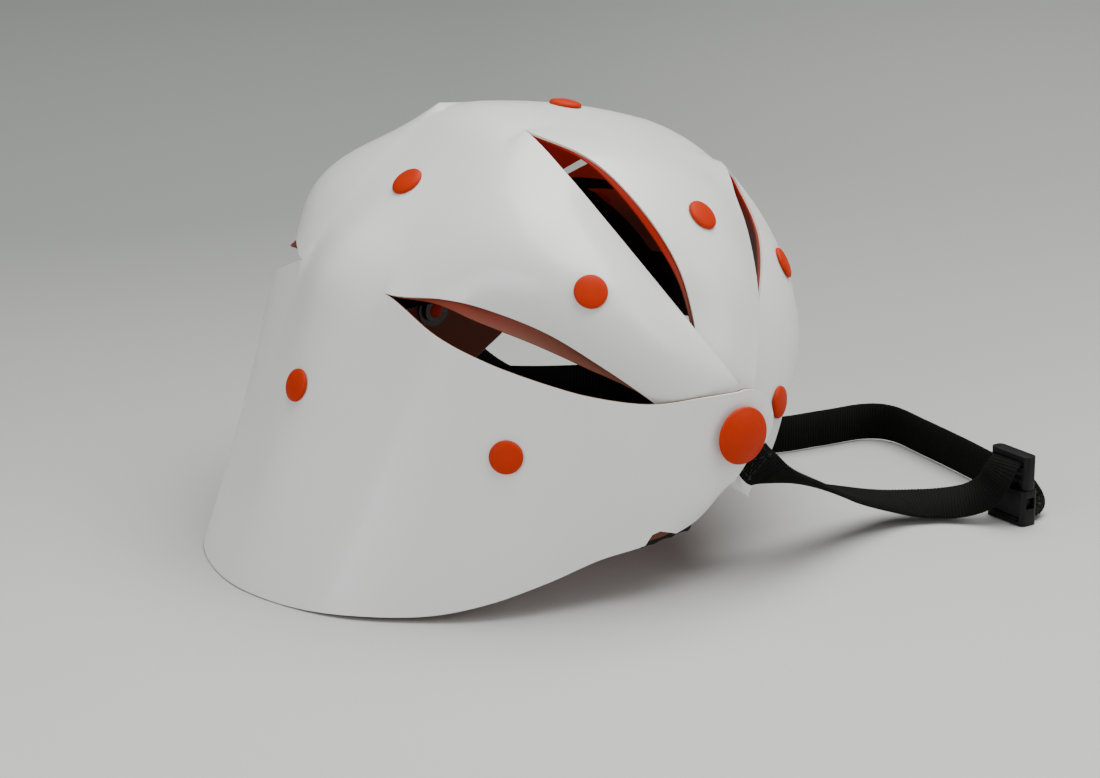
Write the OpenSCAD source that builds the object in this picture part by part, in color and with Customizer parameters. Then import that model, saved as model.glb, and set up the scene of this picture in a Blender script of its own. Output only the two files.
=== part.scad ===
// Folding sheet helmet: a slit polypropylene sheet riveted over a coloured inner sheet,
// gathered in a fan at each ear, with a webbing cradle, pads and a buckled chin strap.
// X runs to the wearer's left, Y to the back of the head and Z up. The origin is on the surface
// that the helmet stands on, midway between the two ear posts.

/* [Shell] */
// Half of the distance between the outer faces at the ears
ear_half = 104; // [98:1:110]
// How far the nape rim reaches behind the ear axis
nape_reach = 146; // [138:1:154]
// Height of the crown above the ear axis
crown_rise = 101; // [96:1:106]
// Height of the ear axis above the surface that the helmet stands on
ear_height = 57.5; // [57.5:0.5:60]

/* [Sheets] */
// Thickness of the outer sheet
outer_t = 0.8; // [0.6:0.1:0.9]
// Thickness of the inner sheet
inner_t = 0.5; // [0.4:0.1:0.6]
// Air gap between the two sheets
sheet_gap = 0.3; // [0.2:0.05:0.4]
// How much of each slit the inner sheet covers from its crown side
inner_cover = 0.3; // [0:0.05:0.4]

/* [Rivets] */
// Diameter of a small rivet's head
rivet_d = 12; // [10:0.5:13]
// Height of a small rivet's head
rivet_h = 2; // [1.5:0.1:2.5]
// Diameter of the shank of a small rivet
shank_d = 4; // [3:0.25:5]

/* [Ears] */
// Diameter of the ear cap
cap_d = 21; // [19:0.5:22]
// Height of the ear cap's dome
cap_h = 4; // [3:0.25:5]
// Outer diameter of the ear grommet
grommet_d = 8; // [7:0.25:8]
// Diameter of the cap's post
post_d = 5.9; // [5:0.1:6]
// Radial running clearance of the post in the grommet
post_play = 0.05; // [0.03:0.01:0.1]

/* [Chin strap] */
// Width of the webbing
web_w = 15; // [14:0.5:16]
// Thickness of the webbing
web_t = 1.4; // [1.2:0.1:1.6]
// How far the buckle's plug pulls out
plug_travel = 18; // [16:1:22]

/* [Hidden] */
// Standard sizes that the outline points below are drawn for
STANDARD = [104, 146, 101];
STRETCH = [ear_half / STANDARD[0], nape_reach / STANDARD[1], crown_rise / STANDARD[2]];
SIDES = [["right", -1], ["left", 1]];

WHITE = [0.93, 0.93, 0.92];
ORANGE = [0.93, 0.33, 0.1];
RED = [0.75, 0.16, 0.08];
BLACK = [0.07, 0.07, 0.075];

// Each band runs from the middle of the head to the ear. An edge is its middle point, the point
// where the neck ends and the slit starts, and the points that the free edge passes through.
// Heights are above the ear axis.
NAPE_RIM = [[0, 145, -57], [28, 140, -57], [50, 129, -56], [68, 110, -55], [80, 92, -51],
            [88, 72, -45], [93, 53, -39], [97, 36, -36], [101, 16, -31], [103, 4, -20]];
SLIT_1_LOW = [[0, 104, 56], [27, 98, 50], [52, 94, 40], [70, 85, 33], [85, 70, 26],
              [94, 56, 21], [99, 35, 16], [103, 16, 16]];
SLIT_1_HIGH = [[0, 104, 56], [27, 98, 50], [48, 88, 51], [61, 79, 49], [77, 65, 42],
               [89, 51, 31], [96, 34, 17], [98.4, 20, 4]];
SLIT_2_LOW = [[0, 40, 104], [27, 38, 100], [48, 34, 87], [64, 28, 72], [79, 21, 56],
              [92, 9, 35], [98.7, -3, 17]];
SLIT_2_HIGH = [[0, 40, 104], [27, 38, 100], [48, 25, 92], [66, 17, 78], [80, 11, 60],
               [87.6, 9, 42], [94.8, 11, 22]];
SLIT_3_LOW = [[0, -50, 84], [27, -51, 76], [45, -44, 67], [60, -38, 57], [78, -28, 43],
              [89, -20, 28], [96.5, -12, 12]];
SLIT_3_HIGH = [[0, -50, 84], [27, -51, 76], [38, -52, 67], [58, -45, 55], [77, -30, 41],
               [88, -15, 27], [94, -2, 15]];
BROW_RIM = [[0, -92, 20], [28, -85, 19], [50, -71, 15], [68, -55, 8], [81, -39, -4],
            [87.5, -28, -16]];
BANDS = [[NAPE_RIM, SLIT_1_LOW], [SLIT_1_HIGH, SLIT_2_LOW], [SLIT_2_HIGH, SLIT_3_LOW],
         [SLIT_3_HIGH, BROW_RIM]];
// Where each band's outer face lies at the ear, in from the outermost one
BAND_DEPTH = [0, 4.8, 6.6, 8.4];
// The round end of each band: its centre and radius beside the ear axis, and its direction
LOBES = [[-2.5, 3.5, 12.5, 166], [1, 1, 10.5, 240], [0, 0, 10, 270]];
// The end of the brow band is cut straight: the corners of its two edges, then where they meet
BROW_END = [[11, 2], [-14, -28], [-5, -23], [-15, -30]];
BROW_TIP_IN = 3.5;

// How far each band swells between its edges: at the middle of the head, then beside it
SWELL = [[-2, 1.5], [-1, 14], [4, 4], [3, 2.5]];
HEAD_MIDDLE = [0, 12, 10];

NECK_STEPS = 3;
SLIT_STEPS = 12;
LOBE_STEPS = 5;
ACROSS_STEPS = 4;
HALF_STEPS = NECK_STEPS + SLIT_STEPS + LOBE_STEPS;
LOBE_START = NECK_STEPS + SLIT_STEPS;
RIM_SHORT = 0.012;

// Small rivets: name, band, steps from the middle, place across the band from its rear edge
RIVETS = [["nape", 0, 0, 0.62], ["nape_side", 0, 7.2, 0.64],
          ["rear_crown", 1, 0, 0.52], ["rear_side", 1, 8.2, 0.43],
          ["top_crown", 2, 0, 0.43], ["top_side", 2, 7.25, 0.44],
          ["brow", 3, 0, 0.5], ["brow_side", 3, 6.45, 0.37], ["temple", 3, 10.7, 0.79]];

// Head band: half width, half length, middle behind the ear axis, height of its lower edge
BAND_OVAL = [80, 84, 10];
BAND_LOW = 6;
BAND_W = 20;
BAND_T = 1.6;
OVAL_STEPS = 60;
PAD_T = 7;
CRADLE_RISE = [60, 62];
CRADLE_STEPS = 12;

// Chin strap routes in the frame of the ear axis's height: place, then the width's direction
RIGHT_RUN = [[[-100.5, -6.6, -8.8], [0, 0.8, -0.6]], [[-100.9, -11.5, -15], [0.2, 0.75, -0.6]],
             [[-100, -20, -20.5], [0.75, 0.5, -0.4]], [[-94, -40, -29], [0.95, 0.3, -0.1]],
             [[-87, -64, -40], [0.95, 0.2, 0.2]], [[-84, -89, -49], [0.9, 0.1, 0.35]],
             [[-89, -105, -51.5], [0.85, -0.2, 0.42]], [[-97, -114.5, -50], [0.8, -0.35, 0.5]],
             [[-104, -119.5, -45], [0.9, -0.1, 0.4]], [[-107, -122, -38], [1, 0, 0.1]],
             [[-107, -126, -33.6], [1, 0, 0]], [[-107, -133, -33.6], [1, 0, 0]]];
LEFT_RUN = [[[100.5, -6.6, -8.8], [0, 0.8, -0.6]], [[100.2, -14, -18], [0.1, 0.7, -0.7]],
            [[90, -30, -34], [0.3, 0.4, -0.9]], [[62, -54, -47], [0, 0.1, -1]],
            [[30, -78, -49.4], [0, 0, -1]], [[6, -101, -49.4], [0, 0, -1]],
            [[0, -126, -49.4], [0, 0, -1]], [[-3, -145, -49.4], [0, 0, -1]],
            [[-12, -153, -49.4], [0, 0, -1]], [[-33, -151.5, -49.4], [0, 0, -1]],
            [[-62, -148, -49.4], [0, 0, -1]], [[-84, -144, -49.3], [0.15, 0, -1]],
            [[-97, -141, -50], [0.65, 0.35, -0.7]], [[-104, -139.5, -53.6], [0.9, 0.4, -0.2]],
            [[-107, -135, -54.9], [1, 0, 0]], [[-107, -125.5, -54.9], [1, 0, 0]]];
RUN_STEPS = 4;

// Buckle: middle of the joint between socket and plug, above the ear axis's height
BUCKLE_AT = [-107, -129.5, -43.7];
SOCKET = [20, 7.6, 13.6];
PLUG_FRAME = [20, 5.4, 13];
WALL = 1.5;

// ---- Curves ----
function mix(a, b, k) = a + (b - a) * k;
function flip(p) = [-p[0], p[1], p[2]];
function unit(v) = v / norm(v);
function stretched(p) = [p[0] * STRETCH[0], p[1] * STRETCH[1], p[2] * STRETCH[2]];
function spline(a, b, c, d, u) =
    (2 * b + (c - a) * u + (2 * a - 5 * b + 4 * c - d) * u * u + (3 * b - a - 3 * c + d) * u * u * u) / 2;

// ---- Bands of the sheets ----
function ear_x(band) = ear_half - BAND_DEPTH[band];

// Point on a band's round end, turned from its free edge (0 degrees) towards its tip (90)
function lobe_point(band, edge, turn) =
    let (l = LOBES[band], way = edge == 0 ? -1 : 1, up = way * cos(turn), out = sin(turn))
    [ear_x(band), l[0] + l[2] * (up * sin(l[3]) + out * cos(l[3])),
     l[1] + l[2] * (-up * cos(l[3]) + out * sin(l[3]))];

function brow_end_point(edge, k) =
    let (p = mix(BROW_END[edge], BROW_END[edge + 2], k))
    [ear_x(3) - BROW_TIP_IN * (edge == 1 ? 1 : k), p[0], p[1]];

function end_point(band, edge, k) =
    band == 3 ? brow_end_point(edge, k) : lobe_point(band, edge, 82 * k);

// Both edges at a slit share the neck, so its curve looks ahead to the middle of the slit
function neck_ahead(band, edge) =
    let (own = BANDS[band][edge][2], other = band + (edge == 0 ? -1 : 1))
    other < 0 || other > 3 ? own : mix(own, BANDS[other][1 - edge][2], 0.5);

function free_point(band, edge, t) =
    let (e = concat([for (p = BANDS[band][edge]) stretched(p)], [end_point(band, edge, 0)]),
         last = len(e) - 1, s = 1 + t * (last - 1), i = min(floor(s), last - 1))
    spline(e[i - 1], e[i], e[i + 1], i + 2 > last ? 2 * e[last] - e[last - 1] : e[i + 2], s - i);

function edge_point(band, edge, step) =
    step > LOBE_START ? end_point(band, edge, (step - LOBE_START) / LOBE_STEPS)
    : step > NECK_STEPS ? free_point(band, edge, (step - NECK_STEPS) / SLIT_STEPS)
    : let (e = BANDS[band][edge])
      spline(stretched(flip(e[1])), stretched(e[0]), stretched(e[1]),
             stretched(neck_ahead(band, edge)), step / NECK_STEPS);

// How far past the rear edge of its band the inner sheet reaches, as a share of the band's width
function reach(band, step, cover) =
    let (along = (abs(step) - NECK_STEPS) / SLIT_STEPS)
    band == 0 || along <= 0 || along >= 0.8 ? 0
    : cover * sin(225 * along) * norm(edge_point(band - 1, 1, abs(step)) - edge_point(band, 0, abs(step)))
      / norm(edge_point(band, 1, abs(step)) - edge_point(band, 0, abs(step)));

function swell(band, step) =
    let (t = step / LOBE_START)
    t > 1 ? 0 : SWELL[band][0] * pow(cos(90 * t), 2) + SWELL[band][1] * pow(sin(180 * t), 2);

// Place on a band: steps out from the middle, then across from its rear edge
function band_point(band, step, across) =
    let (s = abs(step),
         flat = mix(edge_point(band, 0, s), edge_point(band, 1, s), across),
         p = flat + unit(flat - HEAD_MIDDLE) * swell(band, s) * sin(180 * max(across, 0)))
    step < 0 ? flip(p) : p;

function band_normal(band, step, across) =
    let (s = min(abs(step), HALF_STEPS - 0.1), k = max(across, 0.02),
         along = band_point(band, s + 0.1, k) - band_point(band, s - 0.1, k),
         over = band_point(band, s, k + 0.02) - band_point(band, s, k - 0.02),
         n = unit(cross(over, along)))
    step < 0 ? flip(n) : n;

// Rows of points across a band. The inner sheet has one more, past the rear edge, and it stays a
// little short of both rims.
function rows_across(band, step, cover) =
    [for (k = [cover > 0 && band > 0 ? -1 : 0:ACROSS_STEPS])
        k < 0 ? -reach(band, step, cover)
        : cover > 0 && band == 0 && k == 0 ? RIM_SHORT
        : cover > 0 && band == 3 && k == ACROSS_STEPS ? 1 - RIM_SHORT : k / ACROSS_STEPS];

// A band of sheet between two depths under the outer face
module band_solid(band, top, bottom, cover) {
    columns = 2 * HALF_STEPS + 1;
    rows = len(rows_across(band, 0, cover));
    skins = [for (depth = [top, bottom], c = [0:columns - 1]) let (step = c - HALF_STEPS)
        for (k = rows_across(band, step, cover))
            band_point(band, step, k) - depth * band_normal(band, step, k)];
    back = columns * rows;
    quads = concat(
        [for (c = [0:columns - 2], r = [0:rows - 2])
            [c * rows + r, (c + 1) * rows + r, (c + 1) * rows + r + 1, c * rows + r + 1]],
        [for (c = [0:columns - 2], r = [0:rows - 2])
            [back + c * rows + r, back + c * rows + r + 1,
             back + (c + 1) * rows + r + 1, back + (c + 1) * rows + r]],
        [for (c = [0:columns - 2])
            [c * rows, back + c * rows, back + (c + 1) * rows, (c + 1) * rows]],
        [for (c = [0:columns - 2]) let (r = rows - 1)
            [c * rows + r, (c + 1) * rows + r, back + (c + 1) * rows + r, back + c * rows + r]],
        [for (r = [0:rows - 2])
            [r, r + 1, back + r + 1, back + r]],
        [for (r = [0:rows - 2]) let (c = (columns - 1) * rows)
            [c + r, back + c + r, back + c + r + 1, c + r + 1]]);
    polyhedron(skins, [for (q = quads, half = [0, 1]) [q[0], q[half + 1], q[half + 2]]], 4);
}

// Frame whose Z axis is the direction n at the point p
function frame_at(p, n) =
    let (x = unit(cross(abs(n[2]) > 0.9 ? [0, 1, 0] : [0, 0, 1], n)), y = cross(n, x))
    [[x[0], y[0], n[0], p[0]], [x[1], y[1], n[1], p[1]], [x[2], y[2], n[2], p[2]], [0, 0, 0, 1]];

module on_sheet(rivet, side) {
    step = side * rivet[2];
    multmatrix(frame_at(band_point(rivet[1], step, rivet[3]), band_normal(rivet[1], step, rivet[3])))
        children();
}

module at_ear(side) {
    translate([side * ear_half, 0, 0]) rotate([0, side * 90, 0]) children();
}

// Sheet with its rivet and ear holes
module sheet(top, bottom, cover) {
    resize([0, 0, 0])
        difference() {
            union() for (band = [0:3]) band_solid(band, top, bottom, cover);
            for (rivet = RIVETS, side = [-1, 1])
                on_sheet(rivet, side) cylinder(d = shank_d + 0.6, h = 8, center = true, $fn = 12);
            for (side = [-1, 1])
                at_ear(side) cylinder(d = grommet_d + 0.6, h = 40, center = true, $fn = 12);
        }
}

module outer_sheet() {
    color(WHITE) sheet(0, outer_t, 0);
}

module inner_sheet() {
    color(RED) sheet(outer_t + sheet_gap, outer_t + sheet_gap + inner_t, inner_cover);
}

// ---- Small rivets ----
SHEETS_T = outer_t + sheet_gap + inner_t;
RIVET_LIFT = 0.2;
BACK_GAP = 1.9;
BACK_T = 1.5;
BACK_SOCKET = 1;

module dome(d, h) {
    r = (d * d / 4 + h * h) / (2 * h);
    intersection() {
        translate([0, 0, h - r]) sphere(r, $fn = 96);
        cylinder(d = d, h = h + 1, $fn = 64);
    }
}

module rivet_head(rivet, side) {
    color(ORANGE) on_sheet(rivet, side) {
        translate([0, 0, RIVET_LIFT]) dome(rivet_d, rivet_h);
        translate([0, 0, -SHEETS_T - BACK_GAP - BACK_SOCKET + 0.1])
            cylinder(d = shank_d, h = SHEETS_T + BACK_GAP + BACK_SOCKET + 0.5, $fn = 48);
    }
}

module rivet_back(rivet, side) {
    color(ORANGE) on_sheet(rivet, side)
        translate([0, 0, -SHEETS_T - BACK_GAP - BACK_T])
            difference() {
                cylinder(d = rivet_d - 1, h = BACK_T, $fn = 64);
                translate([0, 0, BACK_T - BACK_SOCKET])
                    cylinder(d = shank_d + 0.1, h = BACK_SOCKET + 1, $fn = 48);
            }
}

// ---- Ear fastening: grommet through the fan, cap with its post, clip inside ----
FLANGE_T = 0.7;
STACK_T = BAND_DEPTH[3] + SHEETS_T + BROW_TIP_IN / 2;
INNER_FLANGE_T = 1.2;
GROMMET_END = -STACK_T - 1 - INNER_FLANGE_T;
CLIP_T = 1.4;
bore_d = post_d + 2 * post_play;

module ear_grommet(side) {
    color("silver") at_ear(side)
        difference() {
            union() {
                translate([0, 0, GROMMET_END])
                    cylinder(d = grommet_d, h = 0.1 + FLANGE_T - GROMMET_END, $fn = 64);
                translate([0, 0, 0.1]) cylinder(d = grommet_d + 5, h = FLANGE_T, $fn = 64);
                translate([0, 0, GROMMET_END]) cylinder(d = grommet_d + 6, h = INNER_FLANGE_T, $fn = 64);
            }
            translate([0, 0, GROMMET_END - 1]) cylinder(d = bore_d, h = STACK_T + 8, $fn = 64);
        }
}

module ear_cap(side) {
    color(ORANGE) at_ear(side) {
        translate([0, 0, 0.1 + FLANGE_T + 0.15]) dome(cap_d, cap_h);
        translate([0, 0, GROMMET_END - 0.3 - CLIP_T - 0.6])
            cylinder(d = post_d, h = 2.5 - GROMMET_END + CLIP_T, $fn = 64);
    }
}

module ear_clip(side) {
    color("silver") at_ear(side)
        translate([0, 0, GROMMET_END - 0.3 - CLIP_T])
            difference() {
                cylinder(d = 10, h = CLIP_T, $fn = 64);
                translate([0, 0, -1]) cylinder(d = post_d, h = CLIP_T + 2, $fn = 64);
            }
}

// Tab in the webbing's end that turns on the grommet, between the two outermost bands
ANCHOR_DEPTH = SHEETS_T + 1.2;
ANCHOR_ARM = 10.5;
ANCHOR_TURN = 53.1;

module strap_anchor(side) {
    color(BLACK) translate([side * (ear_half - ANCHOR_DEPTH), 0, 0]) rotate([0, -side * 90, 0])
        difference() {
            union() {
                cylinder(d = web_w + 0.8, h = web_t, $fn = 64);
                rotate([0, 0, 270 - side * ANCHOR_TURN])
                    translate([0, -web_w / 2, 0]) cube([ANCHOR_ARM, web_w, web_t]);
            }
            translate([0, 0, -1]) cylinder(d = grommet_d + 0.2, h = web_t + 2, $fn = 64);
        }
}

// ---- Webbing ----
function route_point(route, t, part) =
    let (last = len(route) - 1, i = min(floor(t * last), last - 1),
         a = route[max(i - 1, 0)][part], d = route[min(i + 2, last)][part])
    spline(a, route[i][part], route[i + 1][part], d, t * last - i);

// Flat webbing swept along a route, with its width along each place's own direction
module webbing(route, width, thickness) {
    rings = (len(route) - 1) * RUN_STEPS;
    corners = [for (k = [0:rings])
        let (t = k / rings, p = route_point(route, t, 0),
             ahead = route_point(route, min(t + 0.004, 1), 0) - route_point(route, max(t - 0.004, 0), 0),
             go = unit(ahead), w0 = route_point(route, t, 1),
             w = unit(w0 - go * (go * w0)), up = cross(go, w))
        for (c = [[-1, -1], [1, -1], [1, 1], [-1, 1]])
            p + w * c[0] * width / 2 + up * c[1] * thickness / 2];
    sides = [for (k = [0:rings - 1], c = [0:3])
        [k * 4 + c, (k + 1) * 4 + c, (k + 1) * 4 + (c + 1) % 4, k * 4 + (c + 1) % 4]];
    caps = [[0, 1, 2, 3], [for (c = [3:-1:0]) rings * 4 + c]];
    polyhedron(corners, [for (q = concat(sides, caps), half = [0, 1]) [q[0], q[half + 1], q[half + 2]]], 4);
}

module strap_right() {
    color(BLACK) webbing(RIGHT_RUN, web_w, web_t);
}

module strap_left() {
    color(BLACK) webbing(LEFT_RUN, web_w, web_t);
}

// ---- Side-release buckle: socket below, plug above with its guide and prongs in the socket ----
PRONG_X = 5.6;
PRONG_Z = 1.2;
PRONG_T = 3.4;
PRONG_OUTLINE = [[4.4, 1.2], [6.8, 1.2], [6.8, -3.3], [8.4, -3.8], [8.4, -6], [6.6, -8.2], [4.8, -8.2]];
KNUCKLE_R = 1.5;
KNUCKLE_GAP = 0.35;
GUIDE = [2.6, 2.8, 7.6];
PLUG_SLOTS = [5.2, 9.8];
SLOT_H = 2.4;
SOCKET_SLOT = [2.4, 2];
WINDOW = [8.6, 4.4];
CAVITY_FLOOR = 5;
PLUG_LIFT = 0.3;

module in_buckle() {
    translate(BUCKLE_AT) children();
}

module rounded_block(size, r) {
    translate([-size[0] / 2 + r, -size[1] / 2, 0]) cube([size[0] - 2 * r, size[1], size[2]]);
    translate([-size[0] / 2, -size[1] / 2 + r, 0]) cube([size[0], size[1] - 2 * r, size[2]]);
    for (x = [-1, 1], y = [-1, 1])
        translate([x * (size[0] / 2 - r), y * (size[1] / 2 - r), 0]) cylinder(r = r, h = size[2], $fn = 32);
}

module buckle_socket() {
    color(BLACK) in_buckle() translate([0, 0, -SOCKET[2]]) difference() {
        rounded_block(SOCKET, 2);
        translate([WALL - SOCKET[0] / 2, WALL - SOCKET[1] / 2, CAVITY_FLOOR])
            cube([SOCKET[0] - 2 * WALL, SOCKET[1] - 2 * WALL, SOCKET[2]]);
        translate([0, 0, WINDOW[0]])
            cube([SOCKET[0] + 2, SOCKET[1] - 2 * WALL - 0.6, WINDOW[1]], center = true);
        translate([0, 0, SOCKET_SLOT[0]])
            cube([web_w + 0.8, SOCKET[1] + 2, SOCKET_SLOT[1]], center = true);
    }
}

module buckle_plug() {
    color(BLACK) in_buckle() difference() {
        union() {
            translate([0, 0, PLUG_LIFT]) rounded_block(PLUG_FRAME, 2);
            translate([-GUIDE[0] / 2, -GUIDE[1] / 2, 0.5 - GUIDE[2]]) cube(GUIDE);
        }
        for (z = PLUG_SLOTS)
            translate([0, 0, PLUG_LIFT + z]) cube([web_w + 0.8, PLUG_FRAME[1] + 2, SLOT_H], center = true);
        for (x = [-PRONG_X, PRONG_X])
            translate([x, 0, PRONG_Z]) rotate([90, 0, 0])
                cylinder(r = KNUCKLE_R + KNUCKLE_GAP, h = PLUG_FRAME[1] + 2, center = true, $fn = 48);
    }
}

module buckle_prong(side) {
    color(BLACK) in_buckle() rotate([90, 0, 0]) translate([0, 0, -PRONG_T / 2]) {
        linear_extrude(PRONG_T) polygon([for (p = PRONG_OUTLINE) [side * p[0], p[1]]]);
        translate([side * PRONG_X, PRONG_Z, 0]) cylinder(r = KNUCKLE_R, h = PRONG_T, $fn = 48);
    }
}

// ---- Cradle and pads ----
function oval(inset, from = 0, to = 360, steps = OVAL_STEPS) =
    [for (k = [0:steps]) let (a = from + (to - from) * k / steps)
        [(BAND_OVAL[0] - inset) * sin(a), BAND_OVAL[2] - (BAND_OVAL[1] - inset) * cos(a)]];

function without_last(list) = [for (k = [0:len(list) - 2]) list[k]];

module head_band() {
    color(BLACK) translate([0, 0, BAND_LOW]) linear_extrude(BAND_W) difference() {
        polygon(without_last(oval(-BAND_T / 2)));
        polygon(without_last(oval(BAND_T / 2)));
    }
}

STRAP_INSET = BAND_T / 2 + 0.4 + web_t / 2;

// Arch of webbing over the head, fixed inside the head band at both ends
module crown_strap(half, middle, rise, along) {
    color(BLACK) webbing(
        [for (k = [0:CRADLE_STEPS])
            let (a = 180 * k / CRADLE_STEPS, x = (half - STRAP_INSET) * cos(a),
                 z = BAND_LOW + BAND_W / 2 + (rise - BAND_LOW) * sin(a))
            along ? [[0, middle + x, z], [1, 0, 0]] : [[x, middle, z], [0, 1, 0]]],
        web_w, web_t);
}

module crown_strap_long() {
    crown_strap(BAND_OVAL[1], BAND_OVAL[2], CRADLE_RISE[0], true);
}

module crown_strap_cross() {
    crown_strap(BAND_OVAL[0], BAND_OVAL[2], CRADLE_RISE[1], false);
}

module crown_pad() {
    color(BLACK) translate([0, BAND_OVAL[2], BAND_W / 2 + CRADLE_RISE[0] - PAD_T - 3])
        cylinder(r = 22, h = PAD_T, $fn = 64);
}

PAD_INSET = STRAP_INSET + web_t / 2 + 2.8;

// Pad that follows the head band's inner side between two turns from the brow
module band_pad(from, to, low, height) {
    outer = oval(PAD_INSET, from, to, 12);
    inner = oval(PAD_INSET + PAD_T, from, to, 12);
    color(BLACK) translate([0, 0, low]) linear_extrude(height)
        polygon(concat(outer, [for (k = [len(inner) - 1:-1:0]) inner[k]]));
}

module brow_pad() {
    band_pad(-38, 38, BAND_LOW - 1, 22);
}

module nape_pad() {
    band_pad(145, 215, BAND_LOW - 1, 22);
}

// Foam pad inside each lower rear corner, showing under the rim
EAR_PAD = [6, 22, 20];
EAR_PAD_AT = [92, 26, -28];
EAR_PAD_TILT = [-14, 3, 12];

module ear_pad(side) {
    color(BLACK) translate([side * EAR_PAD_AT[0], EAR_PAD_AT[1], EAR_PAD_AT[2]])
        rotate([EAR_PAD_TILT[0], side * EAR_PAD_TILT[1], side * EAR_PAD_TILT[2]])
            cube(EAR_PAD, center = true);
}

// ---- Nodes ----
RIVET_SIDES = [for (r = RIVETS) for (s = r[2] == 0 ? [0] : [-1, 1]) [r, s]];
RIVET_NAMES = [for (p = RIVET_SIDES)
    str("rivet_", p[0][0], p[1] == 0 ? "" : p[1] < 0 ? "_right" : "_left")];

module placed() {
    translate([0, 0, ear_height]) children();
}

placed() outer_sheet();
placed() inner_sheet();
for (k = [0:len(RIVET_SIDES) - 1]) {
    rivet = RIVET_SIDES[k];
    placed() rivet_head(rivet[0], rivet[1]);
    placed() rivet_back(rivet[0], rivet[1]);
}
for (s = SIDES) {
    placed() ear_grommet(s[1]);
    placed() ear_cap(s[1]);
    placed() ear_clip(s[1]);
    placed() strap_anchor(s[1]);
    placed() ear_pad(s[1]);
}
placed() strap_right();
placed() strap_left();
placed() buckle_socket();
placed() buckle_plug();
placed() buckle_prong(-1);  // buckle_prong_right
placed() buckle_prong(1);  // buckle_prong_left
placed() head_band();
placed() crown_strap_long();
placed() crown_strap_cross();
placed() brow_pad();
placed() nape_pad();
placed() crown_pad();
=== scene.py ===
"""Folding sheet helmet: its visible pieces and finishes. Everything is in metres."""
import math

import bmesh
import bpy
import numpy as np
from mathutils import Matrix, Vector


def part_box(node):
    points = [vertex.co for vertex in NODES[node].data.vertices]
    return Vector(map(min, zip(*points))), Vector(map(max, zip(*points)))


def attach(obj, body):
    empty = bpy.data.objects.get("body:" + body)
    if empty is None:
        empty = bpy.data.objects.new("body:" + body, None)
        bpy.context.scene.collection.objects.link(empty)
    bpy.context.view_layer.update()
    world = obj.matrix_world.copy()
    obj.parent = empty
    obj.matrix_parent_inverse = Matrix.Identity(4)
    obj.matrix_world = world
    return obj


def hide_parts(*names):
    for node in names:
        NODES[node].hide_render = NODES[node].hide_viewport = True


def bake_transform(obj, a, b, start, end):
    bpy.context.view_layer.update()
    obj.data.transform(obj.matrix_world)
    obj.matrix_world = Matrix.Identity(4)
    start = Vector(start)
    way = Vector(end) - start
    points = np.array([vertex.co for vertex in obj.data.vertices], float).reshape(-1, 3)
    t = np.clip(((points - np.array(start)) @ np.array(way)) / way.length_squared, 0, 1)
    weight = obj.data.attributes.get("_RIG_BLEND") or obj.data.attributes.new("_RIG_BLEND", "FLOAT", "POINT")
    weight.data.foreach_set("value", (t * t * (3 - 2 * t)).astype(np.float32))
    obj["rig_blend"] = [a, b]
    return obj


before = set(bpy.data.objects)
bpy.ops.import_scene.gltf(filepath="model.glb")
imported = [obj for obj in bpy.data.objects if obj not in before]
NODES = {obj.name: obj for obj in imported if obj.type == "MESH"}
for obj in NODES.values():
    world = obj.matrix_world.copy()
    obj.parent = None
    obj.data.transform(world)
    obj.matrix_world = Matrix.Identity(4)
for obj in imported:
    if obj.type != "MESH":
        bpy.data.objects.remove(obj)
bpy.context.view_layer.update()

MM = 0.001
EAR_HEIGHT = 57.5 * MM

# ---------------------------------------------------------------- camera, light and floor

VIEW_TURN = math.radians(35.5)
VIEW_TILT = math.radians(17.5)
CAMERA_PLACE = (-0.9604, 0.69276, 0.42091)
SENSOR_WIDTH, LENS = 36, 108
SHELL_MIDDLE = (0, 0, 0.06)


def set_camera():
    turn, tilt = VIEW_TURN, VIEW_TILT
    right = Vector((-math.sin(turn), -math.cos(turn), 0))
    back = Vector((-math.cos(turn) * math.cos(tilt), math.sin(turn) * math.cos(tilt), math.sin(tilt)))
    up = back.cross(right)
    data = bpy.data.cameras.new("camera")
    data.sensor_width, data.lens = SENSOR_WIDTH, LENS
    data.clip_end = 50
    camera = bpy.data.objects.new("camera", data)
    bpy.context.scene.collection.objects.link(camera)
    axes = Matrix((right, up, back)).transposed().to_4x4()
    camera.matrix_world = Matrix.Translation(CAMERA_PLACE) @ axes
    bpy.context.scene.camera = camera


def softbox(name, place, aim, size, watts, colour=(1, 1, 1)):
    data = bpy.data.lights.new(name, "AREA")
    data.shape, data.size, data.size_y = "RECTANGLE", size[0], size[1]
    data.energy, data.color = watts, colour
    light = bpy.data.objects.new(name, data)
    bpy.context.scene.collection.objects.link(light)
    facing = (Vector(aim) - Vector(place)).to_track_quat("-Z", "Y").to_matrix().to_4x4()
    light.matrix_world = Matrix.Translation(place) @ facing


set_camera()
softbox("overhead", (-0.1, -0.35, 1.5), (0, 0, 0.05), (1.7, 1.3), 44, (1, 0.997, 0.985))
softbox("side", (-1.6, -1.1, 0.9), SHELL_MIDDLE, (1.1, 1.0), 9)
softbox("rear", (-0.5, 1.9, 0.9), SHELL_MIDDLE, (1.3, 0.9), 17, (0.985, 0.993, 1))
world = bpy.data.worlds.new("studio")
world.use_nodes = True
world.node_tree.nodes["Background"].inputs["Color"].default_value = (0.62, 0.64, 0.63, 1)
world.node_tree.nodes["Background"].inputs["Strength"].default_value = 0.3
bpy.context.scene.world = world


# ---------------------------------------------------------------- nodes

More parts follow.
